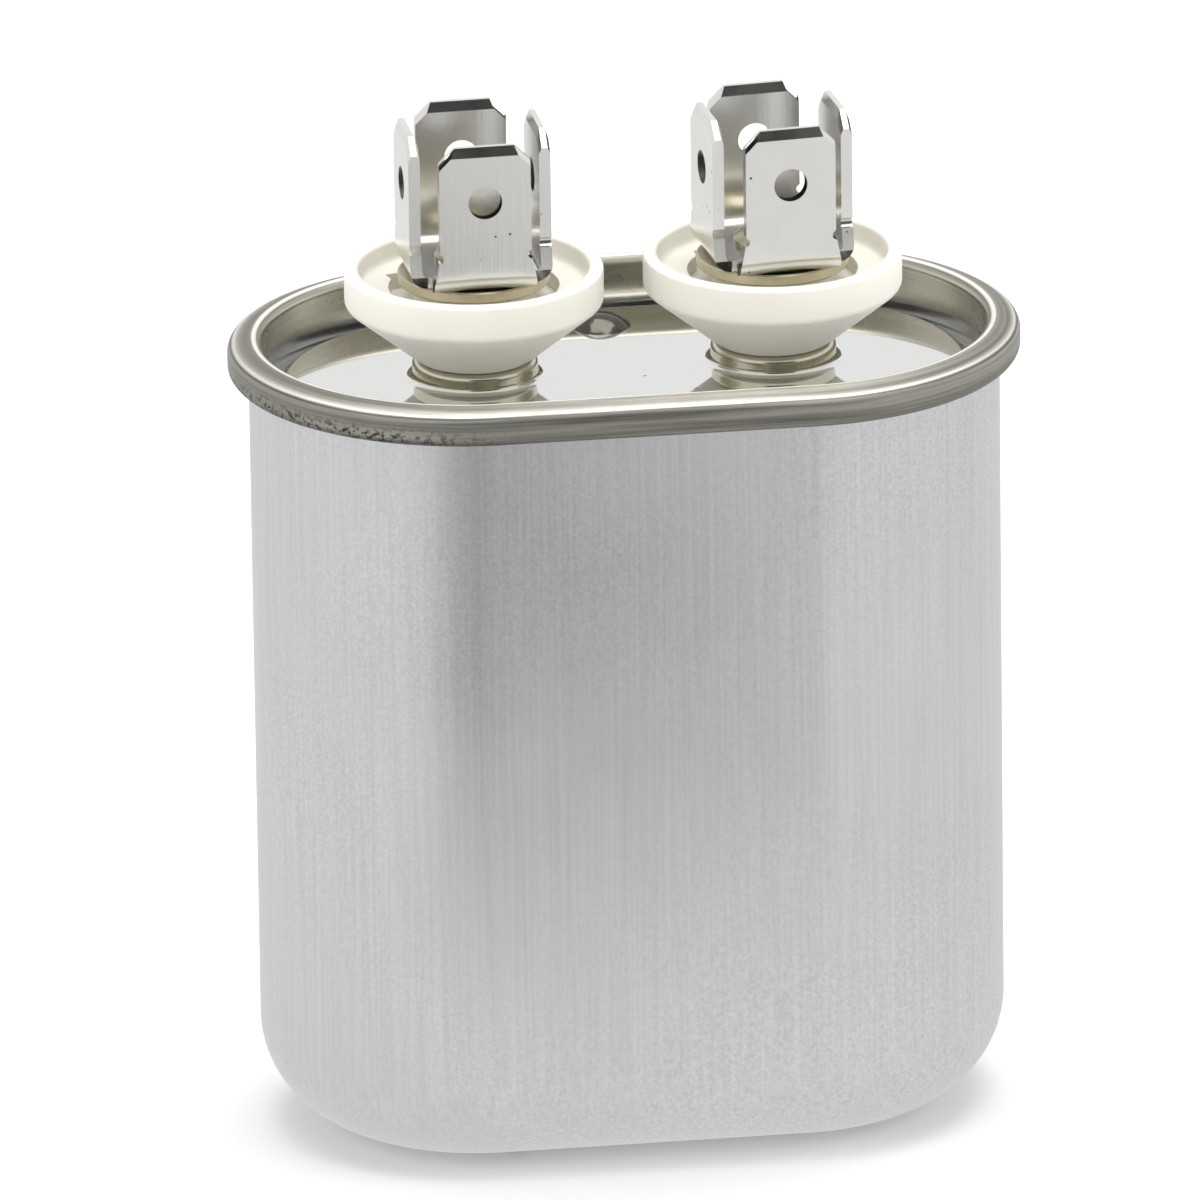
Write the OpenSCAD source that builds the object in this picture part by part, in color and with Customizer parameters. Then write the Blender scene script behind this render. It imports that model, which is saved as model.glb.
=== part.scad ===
// Motor run capacitor in an oval drawn can, with two four-blade terminals.
// The part stands on its base: the origin is the centre of the base, X runs
// along the oval and +Z points up to the blades. Sizes are in millimetres.

/* [Case] */
// Length of the can over its rounded ends
case_length = 52.1; // [46:0.1:64]
// Depth of the can from front to back
case_depth = 30.5; // [28:0.1:36]
// Height from the base to the top of the seamed rim
case_height = 57.1; // [50:0.1:100]
// Thickness of the sheet of the can and of the cover
sheet = 0.45; // [0.4:0.01:0.5]
// Outer radius of the corner between the can's base and its wall
base_corner = 7.5; // [5:0.1:9]

/* [Rim and cover] */
// Height of the double seam
seam_height = 2.6; // [2.6:0.05:3.2]
// Depth of the cover's panel below the top of the rim
panel_drop = 3.1; // [2.8:0.05:3.6]
// Width of the groove between the panel and the rim
groove_width = 1.6; // [1.5:0.05:2]
// Height of the two collars that are drawn up from the panel
collar_height = 1.45; // [1.2:0.05:2]
// Outer diameter of each collar
collar_diameter = 8.7; // [8.4:0.1:9.4]
// Diameter of the hole that the can is filled through
fill_hole = 1.8; // [1:0.1:2.4]
// Diameter of the solder bead that closes the fill hole
fill_bead = 4.2; // [3.2:0.1:4.6]
// Distance from the solder bead to the panel's edge behind it
fill_margin = 1.95; // [1:0.05:4]

/* [Insulator cups] */
// Distance between the centres of the two terminals
terminal_spacing = 20.8; // [19:0.1:24]
// Outer diameter of each cup
cup_diameter = 17.9; // [16.6:0.1:18.6]
// Height of a cup above its collar
cup_height = 6.5; // [5.8:0.1:7.5]
// Height of the cup's straight lip
lip_height = 2.2; // [1.6:0.1:2.6]
// Thickness of the cup's lip
lip_thickness = 1.0; // [0.8:0.1:1.4]
// Diameter of the round recess under the terminal
recess_diameter = 11.8; // [11:0.1:12.4]
// Direction of the moulding notch in the left cup's recess
left_notch = 150; // [0:1:360]
// Direction of the moulding notch in the right cup's recess
right_notch = 137; // [0:1:360]

/* [Terminals] */
// Width of a blade, a quarter of an inch
blade_width = 6.35; // [5.5:0.05:6.4]
// Thickness of a blade
blade_thickness = 0.8; // [0.7:0.05:0.9]
// Width of the fold at a blade's foot
foot_width = 7.1; // [6.4:0.05:7.6]
// Height of a blade's tip above the terminal's base plate
blade_height = 9.8; // [8.6:0.1:12]
// Distance over the outer faces of the front and back blades
span_front_back = 11.0; // [10:0.1:11.4]
// Distance over the outer faces of the left and right blades
span_left_right = 9.9; // [9.8:0.1:11.4]
// Diameter of the detent hole in each blade
blade_hole = 1.8; // [1.6:0.1:2.2]
// Distance of the detent hole's centre from the blade's tip
hole_from_tip = 4.0; // [3.6:0.1:4.4]
// Turn of the left terminal about its rivet
left_turn = 1.5; // [-8:0.5:8]
// Turn of the right terminal about its rivet
right_turn = 5.5; // [-8:0.5:8]
// Diameter of the washer under the terminal
washer_diameter = 10.5; // [9:0.1:11]
// Thickness of the washer under the terminal
washer_thickness = 0.8; // [0.5:0.05:1]
// Diameter of the rivet's shank
rivet_shank = 3.4; // [3:0.1:3.6]
// Width of the rubber ring that seals the cup's sleeve in the collar
gasket_width = 0.8; // [0.6:0.05:1.2]

/* [Inside] */
// Thickness of the liner round the winding
liner_thickness = 0.4; // [0.2:0.05:0.6]
// Thickness of the sprayed zinc on each end of the winding
spray_thickness = 0.8; // [0.4:0.1:1.2]
// Thickness of the lead ribbons
ribbon_thickness = 0.24; // [0.15:0.01:0.3]
// Width of the lead ribbons
ribbon_width = 3; // [2:0.1:3.2]

/* [Hidden] */
$fn = 96;

// plan of the oval: two half rounds of wall_r, joined by straight sides
wall_r = case_depth / 2;
straight = case_length - case_depth;
play = 0.03;
fit = 0.05;

// the double seam: where the can's hook turns over, and the cover's turns back up
seam_turn = sheet + play;
hook_z = case_height - 2.5 * sheet - 0.28;
turn_z = case_height - seam_height + seam_turn + sheet / 2;

// heights of the cover
panel_z = case_height - panel_drop;
collar_z = panel_z + collar_height;
groove_bend = groove_width / 2 - sheet / 2;
panel_edge = wall_r - 1.5 * sheet - play - groove_width;
collar_r = collar_diameter / 2;
collar_flare = 0.8;
fill_place = [-0.4, panel_edge - fill_margin - fill_bead / 2, panel_z];

// heights of the insulator cup and of what stands in it
sleeve_r = collar_r - sheet - gasket_width - 2 * fit;
cup_z = collar_z + play;
cup_top = cup_z + cup_height;
cup_r = cup_diameter / 2;
cup_floor = cup_top - 1.4;
recess_floor = cup_floor - 1.1;
post_z = cup_top - 1;
washer_z = post_z + washer_thickness;
plate_z = washer_z + blade_thickness;
tip_z = plate_z + blade_height;
bend = blade_thickness;
hole_z = tip_z - hole_from_tip;
rivet_head = rivet_shank / 2 + 1;

// heights of what hangs under the cover
gasket_z = panel_z - sheet + 0.35;
bushing_z = panel_z - sheet - play;
bushing_low = bushing_z - 1.7;
lug_low = bushing_low - 0.5;
rivet_low = lug_low - 0.8;

// the winding and what is round it, from the base upwards
inner_r = wall_r - sheet;
corner_r = wall_r - base_corner;
liner_r = inner_r - 0.5;
liner_low = base_corner - sqrt(pow(base_corner - sheet, 2) - pow(liner_r - corner_r, 2)) + 2 * fit;
spacer_top = liner_low - 0.8;
winding_r = liner_r - liner_thickness - 1.05;
winding_low = spacer_top + spray_thickness;
plate_low = panel_z - 8.6;
winding_top = plate_low - 2.6 - spray_thickness;
spray_z = winding_top + spray_thickness;
ribbon_y = winding_r + 0.08 + 0.25 + ribbon_thickness / 2;
ribbon_start = rivet_head + 0.7;
short_y = -6.6;

// the long ribbon stays on the oval's straight side, and its lug's tail swings over to it
tail = 6.1;
sleeve_width = ribbon_width + 0.6;
lead_x = min(terminal_spacing / 2, straight / 2 + 1.5 - sleeve_width / 2);
lug_swing = asin(min(1, (terminal_spacing / 2 - lead_x) / tail));

// --- shapes that the modules share ---

function unit(v) = v / norm(v);
function backwards(v) = [for (i = [len(v) - 1:-1:0]) v[i]];
function arc(centre, r, from, to, steps = 6) =
    [for (i = [0:steps]) let (a = from + (to - from) * i / steps) centre + r * [cos(a), sin(a)]];

// the line that runs beside a path at the distance d, on its left where d is positive
function beside(path, d) = [
    for (i = [0:len(path) - 1])
        let (before = i > 0 ? unit(path[i] - path[i - 1]) : unit(path[1] - path[0]),
             after = i < len(path) - 1 ? unit(path[i + 1] - path[i]) : before,
             across = [-unit(before + after)[1], unit(before + after)[0]])
            path[i] + across * d / (across * [-before[1], before[0]])
];

// the section of a bent sheet whose middle runs along the path
function bent(path, thickness) = concat(beside(path, thickness / 2), backwards(beside(path, -thickness / 2)));

// plan of the oval with half rounds of radius r
module oval(r) {
    square([straight, 2 * r], center = true);
    for (side = [-1, 1])
        translate([side * straight / 2, 0]) circle(r = r);
}

// a plate with the oval's plan
module oval_plate(r, low, high) {
    translate([0, 0, low]) linear_extrude(high - low) oval(r);
}

// a section swept once round the oval; its x is the distance from the oval's middle line
module oval_sweep(section) {
    for (turn = [0, 180]) rotate([0, 0, turn]) {
        translate([straight / 2, 0, 0]) rotate_extrude(angle = 180, start = -90) polygon(section);
        translate([-straight / 2, 0, 0]) rotate([90, 0, 90]) linear_extrude(straight) polygon(section);
    }
}

// a round piece turned from a section in r and z
module turned(section) {
    rotate_extrude() polygon(section);
}

// a strip bent along a path in y and z
module ribbon(path, thickness, width) {
    rotate([90, 0, 90]) translate([0, 0, -width / 2]) linear_extrude(width) polygon(bent(path, thickness));
}

module left() {
    translate([-terminal_spacing / 2, 0, 0]) children();
}

module right() {
    translate([terminal_spacing / 2, 0, 0]) children();
}

// --- the can and its seamed cover ---

// drawn can: flat base, rounded corner, straight wall and the hook that is rolled into the seam
module can() {
    hook_x = wall_r - sheet / 2 + seam_turn;
    path = concat(
        [[corner_r - 1, sheet / 2]],
        arc([corner_r, base_corner], base_corner - sheet / 2, -90, 0, 12),
        arc([hook_x, hook_z], seam_turn, 180, 0, 8),
        [[hook_x + seam_turn, turn_z - fit]]);
    color("silver") {
        oval_plate(corner_r - 0.5, 0, sheet);
        oval_sweep(bent(path, sheet));
    }
}

// the cover's rim section, from the panel out through the groove and over the can's hook
function cover_path() =
    let (middle = panel_z - sheet / 2,
         groove_z = middle - groove_bend - 0.45,
         chuck_x = wall_r - 1.5 * sheet - play,
         outer_x = wall_r + 2.5 * sheet + 3 * play)
    concat(
        [[panel_edge - 1.2, middle]],
        arc([panel_edge - groove_bend, middle - groove_bend], groove_bend, 90, 0),
        arc([panel_edge + groove_width / 2, groove_z], groove_width / 2, 180, 360, 8),
        arc([chuck_x + 0.45, case_height - sheet / 2 - 0.45], 0.45, 180, 90, 4),
        arc([outer_x - 0.5, case_height - sheet / 2 - 0.85], 0.5, 75, 0, 4),
        arc([outer_x - seam_turn, turn_z], seam_turn, 0, -180, 8),
        [[outer_x - 2 * seam_turn, hook_z - play]]);

// stamped cover: panel, groove, chuck wall, seam, two collars and the fill hole
module cover() {
    flare_r = collar_r + collar_flare;
    collar = bent(concat(
        [[flare_r + 0.6, panel_z - sheet / 2]],
        arc([flare_r - sheet / 2, panel_z - sheet / 2 + collar_flare], collar_flare, -90, -180, 5),
        arc([collar_r - sheet / 2 - 0.3, collar_z - sheet / 2 - 0.3], 0.3, 0, 90, 4),
        [[sleeve_r + fit, collar_z - sheet / 2]]), sheet);
    color("gainsboro") {
        difference() {
            oval_plate(panel_edge - 0.9, panel_z - sheet, panel_z);
            for (side = [-1, 1])
                translate([side * terminal_spacing / 2, 0, panel_z - 1]) cylinder(h = 2, r = flare_r + 0.3);
            translate(fill_place - [0, 0, 1]) cylinder(h = 2, d = fill_hole);
        }
        oval_sweep(bent(cover_path(), sheet));
        left() turned(collar);
        right() turned(collar);
    }
}

// solder bead that closes the fill hole
module fill_seal() {
    bead_r = fill_bead / 2;
    height = 0.9;
    dome_r = (bead_r * bead_r + height * height) / (2 * height);
    half = asin(bead_r / dome_r);
    color("lightgray") translate(fill_place) turned(concat(
        [[0, -sheet], [fill_hole / 2 - play, -sheet], [fill_hole / 2 - play, 0]],
        arc([0, height - dome_r], dome_r, 90 - half, 90, 8)));
}

// --- one terminal, from the blades down ---

// moulded insulator: lip, cone, sleeve through the cover, and the post under the terminal
module cup(notch_turn) {
    notch = 1;
    color("ivory") difference() {
        turned(concat(
            [[rivet_shank / 2 + fit, bushing_z + 0.4], [sleeve_r, bushing_z + 0.4], [sleeve_r, cup_z]],
            [[collar_r - 0.35, cup_z], [collar_r, cup_z + 0.25]],
            arc([cup_r - 0.6, cup_top - lip_height], 0.6, -45, 0, 3),
            arc([cup_r - 0.25, cup_top - 0.25], 0.25, 0, 90, 3),
            arc([cup_r - lip_thickness + 0.25, cup_top - 0.25], 0.25, 90, 180, 3),
            arc([cup_r - lip_thickness - 0.4, cup_floor + 0.4], 0.4, 0, -90, 3),
            [[recess_diameter / 2, cup_floor], [recess_diameter / 2, recess_floor]],
            [[sleeve_r + 1.2, recess_floor], [sleeve_r + 1.2, post_z], [rivet_shank / 2 + fit, post_z]]));
        rotate([0, 0, notch_turn]) translate([recess_diameter / 2 - 0.3, 0, recess_floor])
            linear_extrude(2) polygon([[0, -notch], [notch, 0], [0, notch]]);
    }
}

// flat washer between the insulator's post and the terminal
module washer() {
    washer_r = washer_diameter / 2;
    color("silver") turned([
        [rivet_shank / 2 + fit, post_z], [washer_r - 0.1, post_z], [washer_r, post_z + 0.1],
        [washer_r, washer_z - 0.1], [washer_r - 0.1, washer_z], [rivet_shank / 2 + fit, washer_z]]);
}

// one blade on the +Y side with its half of the base plate
module blade(span) {
    middle = span / 2 - blade_thickness / 2;
    taper = 0.7;
    tip = 0.2;
    corner = 1.1;
    notch_z = plate_z + 1.9;
    path = concat(
        [[0, plate_z - blade_thickness / 2]],
        arc([middle - bend, plate_z - blade_thickness / 2 + bend], bend, -90, 0, 6),
        [[middle, tip_z - taper]]);
    section = concat(
        beside(path, blade_thickness / 2),
        [[middle - tip, tip_z], [middle + tip, tip_z]],
        backwards(beside(path, -blade_thickness / 2)));
    edge = [[foot_width / 2, washer_z - 1], [foot_width / 2, plate_z], [blade_width / 2, notch_z],
        [blade_width / 2, tip_z - corner], [blade_width / 2 - corner, tip_z]];
    difference() {
        intersection() {
            rotate([90, 0, 90]) translate([0, 0, -foot_width / 2]) linear_extrude(foot_width)
                polygon(section);
            translate([0, span / 2 + 1, 0]) rotate([90, 0, 0]) linear_extrude(span / 2 + 2)
                polygon(concat(edge, backwards([for (p = edge) [-p[0], p[1]]])));
        }
        for (side = [0, 1]) mirror([side, 0, 0]) {
            coined_corner(middle, corner);
            // shear notch above the foot
            translate([blade_width / 2 + 0.1, middle, notch_z]) rotate([90, 0, 0])
                cylinder(h = 3, r = 0.35, center = true);
        }
        translate([0, middle, hole_z]) rotate([90, 0, 0]) detent();
    }
}

// the wedges that coin both faces of a blade thinner along one cut corner
module coined_corner(middle, corner) {
    width = 0.3;
    depth = 0.2;
    half = blade_thickness / 2;
    translate([blade_width / 2 - corner / 2, middle, tip_z - corner / 2]) rotate([0, -45, 0])
        for (face = [0, 1]) mirror([0, face, 0])
            translate([0, 0, -corner]) linear_extrude(2 * corner)
                polygon([[-width, half], [width, half - 2 * depth], [width, half + depth]]);
}

// detent hole with a shallow dish round it on both faces
module detent() {
    dish_width = 0.27;
    dish_depth = 0.12;
    cylinder(h = 3, d = blade_hole, center = true);
    for (side = [0, 1]) mirror([0, 0, side]) translate([0, 0, blade_thickness / 2 - dish_depth])
        cylinder(h = 2 * dish_depth, d1 = blade_hole, d2 = blade_hole + 4 * dish_width);
}

// four-blade terminal, pressed and bent from one piece
module terminal() {
    color("lightgray") difference() {
        union() {
            for (turn = [0, 180]) rotate([0, 0, turn]) blade(span_front_back);
            for (turn = [90, 270]) rotate([0, 0, turn]) blade(span_left_right);
        }
        translate([0, 0, washer_z - 1]) cylinder(h = 3, d = rivet_shank + 2 * fit);
    }
}

// rivet that holds the terminal, cup, cover, bushing and lug together
module rivet() {
    shank_r = rivet_shank / 2;
    color("silver") turned([
        [0, rivet_low], [rivet_head - 0.3, rivet_low], [rivet_head, rivet_low + 0.3], [rivet_head, lug_low],
        [shank_r, lug_low], [shank_r, plate_z], [rivet_head, plate_z], [rivet_head, plate_z + 0.35],
        [rivet_head - 0.6, plate_z + 0.8], [0, plate_z + 0.8]]);
}

// rubber ring inside the collar
module gasket() {
    ring_r = collar_r - sheet - fit;
    color("dimgray") turned([
        [sleeve_r + fit, gasket_z], [ring_r, gasket_z], [ring_r, collar_z - sheet - 0.35],
        [ring_r - 0.25, collar_z - sheet - play], [sleeve_r + fit, collar_z - sheet - play]]);
}

// inner bushing: its raised ring presses the rubber ring up into the collar
module bushing() {
    flange_r = 6.4;
    color("linen") turned([
        [rivet_shank / 2 + fit, bushing_low], [flange_r - 0.4, bushing_low], [flange_r, bushing_low + 0.4],
        [flange_r, bushing_z], [collar_r - sheet - 2 * fit, bushing_z],
        [collar_r - sheet - 2 * fit, gasket_z - play], [sleeve_r + fit, gasket_z - play],
        [sleeve_r + fit, bushing_z + 0.2], [rivet_shank / 2 + fit, bushing_z + 0.2]]);
}

// contact lug on the rivet, with a tail for the lead
module lug() {
    color("silver") difference() {
        translate([0, 0, lug_low]) linear_extrude(bushing_low - lug_low) union() {
            circle(r = rivet_head + 0.6);
            translate([-ribbon_width / 2, -tail]) square([ribbon_width, tail]);
        }
        translate([0, 0, lug_low - 1]) cylinder(h = 3, d = rivet_shank + 2 * fit);
    }
}

// --- the winding and what is round it ---

// insulating plate over the winding, with slots for the two leads
module top_plate() {
    color("peru") difference() {
        oval_plate(inner_r - 0.25, plate_low, plate_low + 1.5);
        translate([-terminal_spacing / 2, short_y, plate_low])
            cube([ribbon_width + 1, ribbon_thickness + 1, 6], center = true);
        translate([lead_x, ribbon_y, plate_low])
            cube([ribbon_width + 0.8, ribbon_thickness + 0.8, 6], center = true);
    }
}

// ribbon from the left lug straight down to the winding's upper end
module lead_short() {
    high = lug_low - ribbon_thickness / 2;
    foot = spray_z + ribbon_thickness / 2;
    color("tan") translate([-terminal_spacing / 2, 0, 0]) ribbon(concat(
        [[-ribbon_start, high]],
        arc([short_y + 0.6, high - 0.6], 0.6, 90, 180, 4),
        arc([short_y + 0.6, foot + 0.6], 0.6, 180, 270, 4),
        [[-2.5, foot]]), ribbon_thickness, ribbon_width);
}

// ribbon from the right lug down beside the winding to its lower end
module lead_long() {
    high = lug_low - ribbon_thickness / 2;
    foot = winding_r + ribbon_thickness / 2;
    color("tan") translate([lead_x, 0, 0]) ribbon([
        [ribbon_start, high], [ribbon_y - 0.7, high], [ribbon_y - 0.2, high - 0.2], [ribbon_y, high - 0.7],
        [ribbon_y, winding_low + 1.4], [foot, winding_low + 0.3], [foot, spacer_top + 0.1]],
        ribbon_thickness, ribbon_width);
}

// insulating sleeve over the long ribbon
module lead_sleeve() {
    low = winding_low + 1.6;
    color("khaki") translate([lead_x, ribbon_y, low]) linear_extrude(plate_low - 0.3 - low)
        difference() {
            square([sleeve_width, ribbon_thickness + 0.56], center = true);
            square([ribbon_width + 0.1, ribbon_thickness + 0.06], center = true);
        }
}

// paper liner between the winding and the can
module liner() {
    color("wheat") translate([0, 0, liner_low]) linear_extrude(plate_low - liner_low) difference() {
        oval(liner_r);
        oval(liner_r - liner_thickness);
    }
}

// sprayed metal on one end of the winding
module spray(low) {
    color("darkgray") oval_plate(winding_r, low, low + spray_thickness);
}

// wound film, one solid with the slot of its core
module winding() {
    color("whitesmoke") difference() {
        oval_plate(winding_r, winding_low, winding_top);
        oval_plate(1.3, winding_low - 1, winding_top + 1);
    }
}

// flattened tube that the film is wound on
module core() {
    color("white") difference() {
        oval_plate(1.3 - fit, winding_low, winding_top);
        oval_plate(0.7, winding_low - 1, winding_top + 1);
    }
}

// moulded block that fills the can's rounded base and carries the winding
module base_spacer() {
    bend_r = base_corner - sheet - fit;
    stop = asin((base_corner - spacer_top) / bend_r);
    edge_x = corner_r + bend_r * cos(stop);
    section = concat([[1, spacer_top], [1, base_corner - bend_r]],
        arc([corner_r, base_corner], bend_r, -90, -stop, 8));
    color("antiquewhite") {
        oval_sweep(section);
        oval_plate(2, base_corner - bend_r, spacer_top);
    }
}

can();
cover();
fill_seal();
left() cup(left_notch);  // cup_left
right() cup(right_notch);  // cup_right
left() washer();  // washer_left
right() washer();  // washer_right
left() rotate([0, 0, left_turn]) terminal();  // terminal_left
right() rotate([0, 0, right_turn]) terminal();  // terminal_right
left() rivet();  // rivet_left
right() rivet();  // rivet_right
left() gasket();  // gasket_left
right() gasket();  // gasket_right
left() bushing();  // bushing_left
right() bushing();  // bushing_right
left() lug();  // lug_left
right() rotate([0, 0, 180 - lug_swing]) lug();  // lug_right
top_plate();
lead_short();
lead_long();
lead_sleeve();
liner();
spray(winding_top);  // spray_top
winding();
core();
spray(spacer_top);  // spray_bottom
base_spacer();
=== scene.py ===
"""Motor run capacitor: an oval drawn can with a double-seamed cover and two four-blade terminals.

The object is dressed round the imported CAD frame. Lengths in the sections are in millimetres
unless a name says otherwise, and MM turns them into Blender's metres.
"""

import math

import bmesh
import bpy
from mathutils import Matrix, Vector


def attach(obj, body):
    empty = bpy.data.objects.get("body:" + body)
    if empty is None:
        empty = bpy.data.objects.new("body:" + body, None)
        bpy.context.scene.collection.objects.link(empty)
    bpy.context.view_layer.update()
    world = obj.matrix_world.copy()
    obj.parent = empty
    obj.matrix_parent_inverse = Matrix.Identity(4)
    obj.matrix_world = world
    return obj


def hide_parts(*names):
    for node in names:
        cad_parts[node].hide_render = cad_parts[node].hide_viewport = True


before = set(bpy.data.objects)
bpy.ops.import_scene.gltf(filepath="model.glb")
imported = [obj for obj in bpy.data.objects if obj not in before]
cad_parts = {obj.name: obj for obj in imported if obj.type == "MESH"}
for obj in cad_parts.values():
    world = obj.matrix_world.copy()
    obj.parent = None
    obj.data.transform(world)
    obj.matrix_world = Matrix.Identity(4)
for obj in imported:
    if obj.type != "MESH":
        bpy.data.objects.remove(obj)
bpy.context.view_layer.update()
MM = 0.001

# --- Camera ---
# A long lens from the front, a little to the left and well above, with a slight roll, as for a
# catalogue page.
aim = Vector((-1.92, 0.0, 36.97)) * MM
camera_distance = 1.5
camera_azimuth = math.radians(-7.96)
camera_elevation = math.radians(19.87)
camera_roll = math.radians(0.76)
camera_data = bpy.data.cameras.new("camera")
camera_data.lens = 649.3
camera_data.sensor_width = 36.0
camera_data.clip_start, camera_data.clip_end = 0.1, 20.0
camera = bpy.data.objects.new("camera", camera_data)
bpy.context.scene.collection.objects.link(camera)
towards_camera = Vector((
    math.sin(camera_azimuth) * math.cos(camera_elevation),
    -math.cos(camera_azimuth) * math.cos(camera_elevation),
    math.sin(camera_elevation)))
camera.location = aim + towards_camera * camera_distance
camera.rotation_mode = "QUATERNION"
camera.rotation_quaternion = (
    (-towards_camera).to_track_quat("-Z", "Y")
    @ Matrix.Rotation(-camera_roll, 3, "Z").to_quaternion())
bpy.context.scene.camera = camera
bpy.context.scene.view_settings.view_transform = "Standard"


# --- Studio ---
# A white light tent: pale floor, white surroundings, soft boxes overhead and at both sides.
# The tent's slot for the lens is the one dark place, and bright metal shows it as its darks.
def linear(hex_colour):
    """An sRGB colour such as "c8c9cb" as linear red, green, blue and alpha."""
    channels = [int(hex_colour[i:i + 2], 16) / 255 for i in (0, 2, 4)]
    return [c / 12.92 if c <= 0.04045 else ((c + 0.055) / 1.055) ** 2.4 for c in channels] + [1.0]


def add_node(tree, kind, settings=None, links=None):
    """Adds a node. Settings are properties or input values, and links are output sockets."""
    node = tree.nodes.new(kind)
    for key, value in (settings or {}).items():
        if isinstance(key, str) and hasattr(node, key):
            setattr(node, key, value)
        else:
            node.inputs[key].default_value = value
    for key, socket in (links or {}).items():
        tree.links.new(socket, node.inputs[key])
    return node


def show(mesh, name):
    """A new object that shows this mesh, at the origin."""
    made = bpy.data.objects.new(name, mesh)
    bpy.context.scene.collection.objects.link(made)
    return made


def plane(name, corners):
    """A flat sheet between four corners."""
    mesh = bpy.data.meshes.new(name)
    mesh.from_pydata([Vector(c) for c in corners], [], [(0, 1, 2, 3)])
    return show(mesh, name)


world = bpy.data.worlds.new("light_tent")
bpy.context.scene.world = world
world.use_nodes = True
world.node_tree.nodes.clear()
rays = add_node(world.node_tree, "ShaderNodeLightPath")
seen = add_node(world.node_tree, "ShaderNodeMath", {"operation": "MAXIMUM"}, {
    0: rays.outputs["Is Camera Ray"], 1: rays.outputs["Is Glossy Ray"]})
seen = add_node(world.node_tree, "ShaderNodeMath", {"operation": "MAXIMUM"}, {
    0: seen.outputs[0], 1: rays.outputs["Is Transmission Ray"]})
tent_light = 0.78
strength = add_node(world.node_tree, "ShaderNodeMapRange", {"To Min": tent_light, "To Max": 1.0},
                    {"Value": seen.outputs[0]})
tent = add_node(world.node_tree, "ShaderNodeBackground", {"Color": linear("ffffff")},
                {"Strength": strength.outputs[0]})
add_node(world.node_tree, "ShaderNodeOutputWorld", None, {"Surface": tent.outputs[0]})

floor_half = 3.0
floor = plane("floor", [(-floor_half, -floor_half, 0), (floor_half, -floor_half, 0),
                        (floor_half, floor_half, 0), (-floor_half, floor_half, 0)])
floor_paint = bpy.data.materials.new("floor_white")
floor_paint.use_nodes = True
floor_surface = floor_paint.node_tree.nodes["Principled BSDF"]
floor_surface.inputs["Roughness"].default_value = 0.9
floor_surface.inputs["Specular IOR Level"].default_value = 0.0
floor_surface.inputs["Emission Color"].default_value = linear("ffffff")
floor_rays = add_node(floor_paint.node_tree, "ShaderNodeLightPath")
# bright metal sees an even white floor, and the camera sees the lit floor with its shadow
floor_white = 0.93
floor_glow = add_node(floor_paint.node_tree, "ShaderNodeMath",
                      {"operation": "MULTIPLY", 1: floor_white},
                      {0: floor_rays.outputs["Is Glossy Ray"]})
floor_tone = add_node(floor_paint.node_tree, "ShaderNodeMixRGB",
                      {"Color1": linear("f4f4f4"), "Color2": linear("000000")},
                      {"Fac": floor_rays.outputs["Is Glossy Ray"]})
floor_paint.node_tree.links.new(floor_glow.outputs[0], floor_surface.inputs["Emission Strength"])
floor_paint.node_tree.links.new(floor_tone.outputs[0], floor_surface.inputs["Base Color"])
floor.data.materials.append(floor_paint)


can_middle = Vector((0, 0, 0.04))
overhead = 0.5


def soft_box(name, place, size, watts):
    """An area lamp at this place in metres, square on to the middle of the can."""
    data = bpy.data.lights.new(name, "AREA")
    data.shape = "RECTANGLE"
    data.size, data.size_y = size
    data.energy = watts
    lamp = bpy.data.objects.new(name, data)
    lamp.location = place
    lamp.rotation_mode = "QUATERNION"
    lamp.rotation_quaternion = (can_middle - Vector(place)).to_track_quat("-Z", "Y")
    # the tent's wall hides the side boxes from bright metal
    lamp.visible_glossy = place[2] > overhead
    bpy.context.scene.collection.objects.link(lamp)


soft_box("top_box", (0.05, 0.1, 0.75), (0.6, 0.6), 3.8)
soft_box("left_box", (-0.62, -0.22, 0.34), (0.45, 0.5), 1.5)
soft_box("right_box", (0.62, -0.22, 0.34), (0.45, 0.5), 1.7)


def cloth(name, colour, corners):
    """A dull card that only bright metal sees, in its reflections."""
    card = plane(name, corners)
    paint = bpy.data.materials.new(name)
    paint.use_nodes = True
    surface = paint.node_tree.nodes["Principled BSDF"]
    surface.inputs["Base Color"].default_value = linear(colour)
    surface.inputs["Roughness"].default_value = 1.0
    surface.inputs["Specular IOR Level"].default_value = 0.0
    card.data.materials.append(paint)
    card.visible_camera = card.visible_diffuse = card.visible_shadow = False


# the slot for the lens in the tent's front, and the dark cloth that lies on the table below it
slot_y, slot_left, slot_right, slot_low, slot_high = -0.165, -0.060, 0.115, 0.075, 0.150
cloth("lens_slot", "060605", [
    (slot_left, slot_y, slot_low), (slot_right, slot_y, slot_low),
    (slot_right, slot_y, slot_high), (slot_left, slot_y, slot_high)])
apron_left, apron_right, apron_near, apron_far, apron_z = -0.066, 0.020, -0.094, -0.184, 0.0005
cloth("table_cloth", "141518", [
    (apron_left, apron_far, apron_z), (apron_right, apron_far, apron_z),
    (apron_right, apron_near, apron_z), (apron_left, apron_near, apron_z)])


# --- Can ---
# One deep drawing in aluminium: flat base, rounded corner and an oval wall whose top edge is
# hooked into the seam. The punch leaves it satin, with fine upright lines and a mottled grain.
case_height, sheet, wall_r, straight = 57.1, 0.45, 15.25, 21.6
base_corner, seam_height, play = 7.5, 2.6, 0.03
seam_turn = sheet + play
hook_z = case_height - 2.5 * sheet - 0.28
turn_z = case_height - seam_height + seam_turn + sheet / 2
drawn_light, drawn_dark = "dadadb", "cdcdcf"


def material(name):
    """A new material with its node tree and its shader."""
    made = bpy.data.materials.new(name)
    made.use_nodes = True
    return made, made.node_tree, made.node_tree.nodes["Principled BSDF"]


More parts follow.
